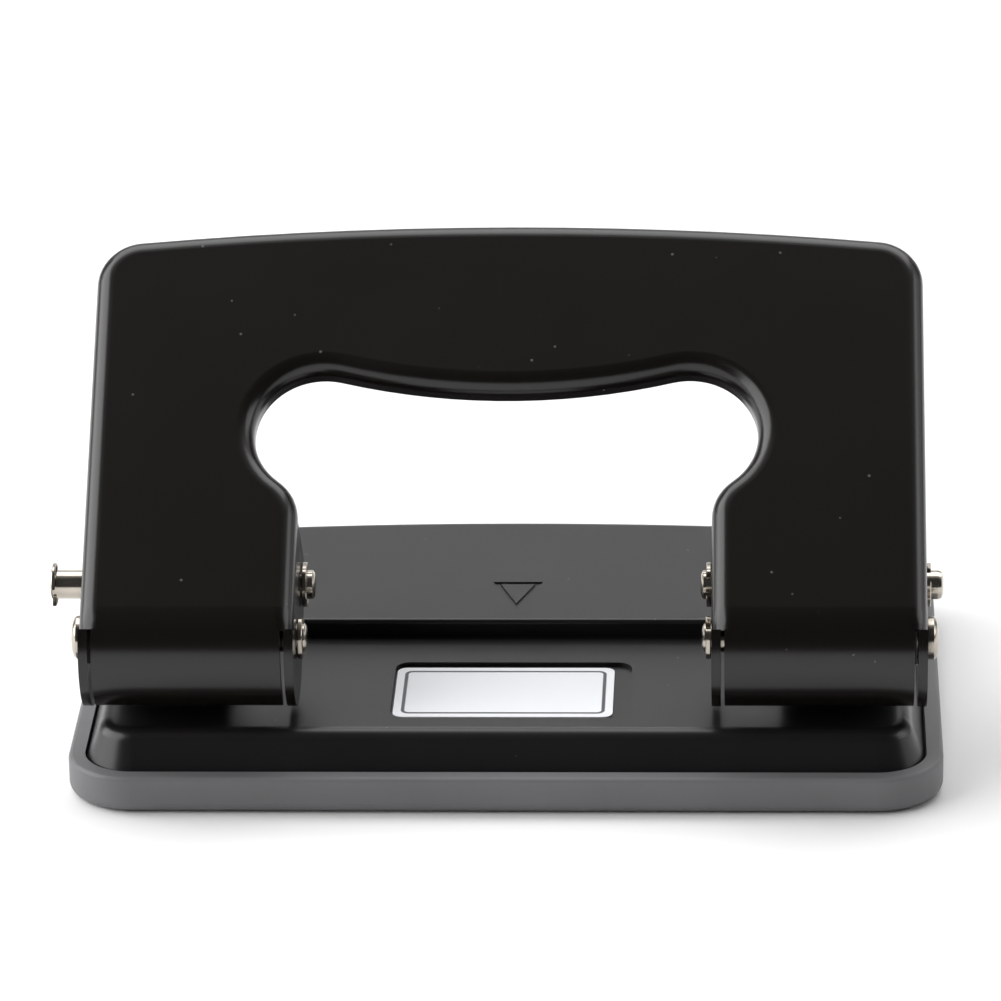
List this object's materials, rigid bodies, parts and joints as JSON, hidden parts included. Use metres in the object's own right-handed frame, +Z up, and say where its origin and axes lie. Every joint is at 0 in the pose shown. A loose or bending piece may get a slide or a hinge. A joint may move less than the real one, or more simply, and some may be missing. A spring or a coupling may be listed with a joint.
{
  "type": "hole punch",
  "caption": "Desk hole punch: pressed steel lever with a grip opening drives a pair of punches through a step-fronted base over a pull-off chip tray.",
  "frame": {"origin": "centre of the chip tray's flat underside", "axes": "+X to the right as the user faces the paper side, +Y to the back, away from the paper, +Z up"},
  "size_m": [0.1078, 0.0684, 0.0576],
  "materials": {
    "tray_plastic": "fine moulded texture",
    "base_paint": "gloss black enamel",
    "label_film": "pale satin film with a thin grey line",
    "lever_paint": "satin black enamel",
    "bracket_steel": "zinc plated",
    "rivet_steel": "plain",
    "pin_nickel": "nickel plated",
    "ring_nickel": "nickel plated",
    "spacer_nylon": "natural nylon",
    "spring_steel": "oiled spring wire",
    "punch_steel": "ground and hardened"
  },
  "bodies": {
    "tray": {"chip_tray": "tray_plastic"},
    "base": {"base_plate": "base_paint", "label_plate": "label_film", "bracket_left": "bracket_steel", "bracket_right": "bracket_steel", "guide_plate_left": "bracket_steel", "guide_plate_right": "bracket_steel", "bracket_rivets": "rivet_steel", "pivot_pin_left": "pin_nickel", "pivot_pin_right": "pin_nickel", "pivot_rings": "ring_nickel", "pivot_spacers": "spacer_nylon", "torsion_spring_left": "spring_steel", "torsion_spring_right": "spring_steel"},
    "handle": {"lever": "lever_paint", "pusher_pin": "pin_nickel", "pusher_rings": "ring_nickel"},
    "lock": {"lock_pin": "pin_nickel", "lock_ring": "ring_nickel"},
    "left_punch": {"punch_left": "punch_steel"},
    "right_punch": {"punch_right": "punch_steel"}
  },
  "joints": [
    {"name": "tray_release", "type": "slide", "parent": "tray", "child": "base", "axis": [0, 0, 1], "range_m": [0, 0.02]},
    {"name": "handle_hinge", "type": "hinge", "parent": "base", "child": "handle", "pos_m": [0, -0.0228, 0.018], "axis": [-1, 0, 0], "range_deg": [0, 36.1], "stiffness_Nm_per_rad": 0.1, "springref_deg": -45.84, "deforming": ["torsion_spring_left", "torsion_spring_right"]},
    {"name": "left_punch_slide", "type": "slide", "parent": "base", "child": "left_punch", "axis": [0, 0, -1], "range_m": [0, 0.006]},
    {"name": "right_punch_slide", "type": "slide", "parent": "base", "child": "right_punch", "axis": [0, 0, -1], "range_m": [0, 0.006]},
    {"name": "lock_slide", "type": "slide", "parent": "handle", "child": "lock", "axis": [1, 0, 0], "range_m": [0, 0.003]}
  ],
  "couplings": [
    {"joint": "left_punch_slide", "follows": "handle_hinge", "m_per_rad": 0.00952},
    {"joint": "right_punch_slide", "follows": "handle_hinge", "m_per_rad": 0.00952}
  ]
}
